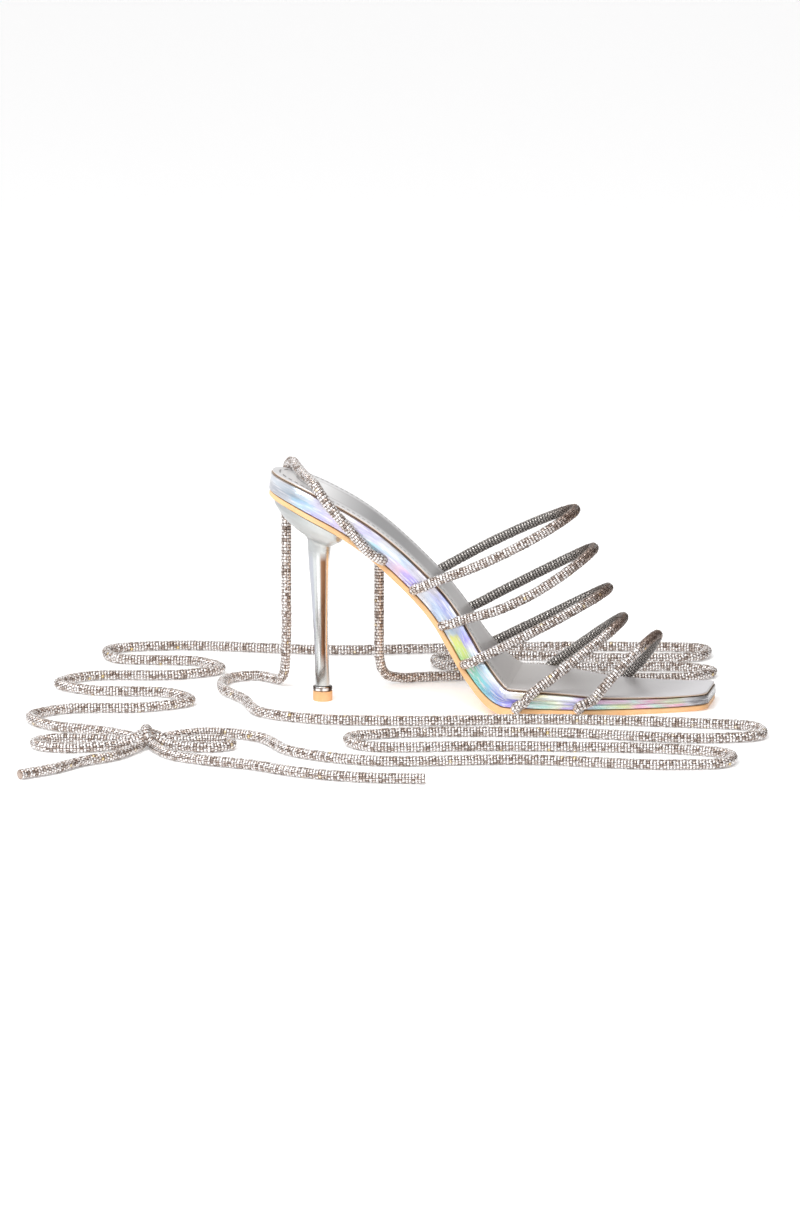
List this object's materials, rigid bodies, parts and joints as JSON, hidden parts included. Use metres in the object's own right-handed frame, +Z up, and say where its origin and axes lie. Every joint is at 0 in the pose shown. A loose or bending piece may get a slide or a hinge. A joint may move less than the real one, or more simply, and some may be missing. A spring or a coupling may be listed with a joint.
{
  "type": "lace-up heeled sandal",
  "caption": "Right-foot strappy sandal on a high stiletto heel, square toe, rope straps over the foot and long rope ties in a bow, laid down uncoiled.",
  "frame": {"origin": "middle of the heel tip's underside, on the floor", "axes": "+X from the heel to the toe along the floor, +Y to the wearer's left (the inner side of this right shoe), +Z up"},
  "size_m": [0.3563, 0.3204, 0.1189],
  "materials": {
    "outsole": "smooth nude sole with a satin edge",
    "band_film": "iridescent foil over silver, lilac, blue, mint and yellow streaks",
    "sock": "satin silver metallic sock",
    "heel_coat": "silver plated, glossy",
    "tip": "matt nude top piece",
    "rope": "mesh rope set with small silver-white stones"
  },
  "bodies": {
    "root": {"outsole": "outsole", "footbed": "band_film", "insole_sock": "sock", "heel": "heel_coat", "heel_ring": "heel_coat", "heel_tip": "tip", "strap_1": "rope", "strap_2": "rope", "strap_3": "rope", "strap_4": "rope", "strap_5": "rope", "tie_outer": "rope", "tie_inner": "rope", "bow_knot": "rope", "bow_loop_1": "rope", "bow_loop_2": "rope", "bow_tail_1": "rope", "bow_tail_2": "rope"}
  },
  "joints": []
}
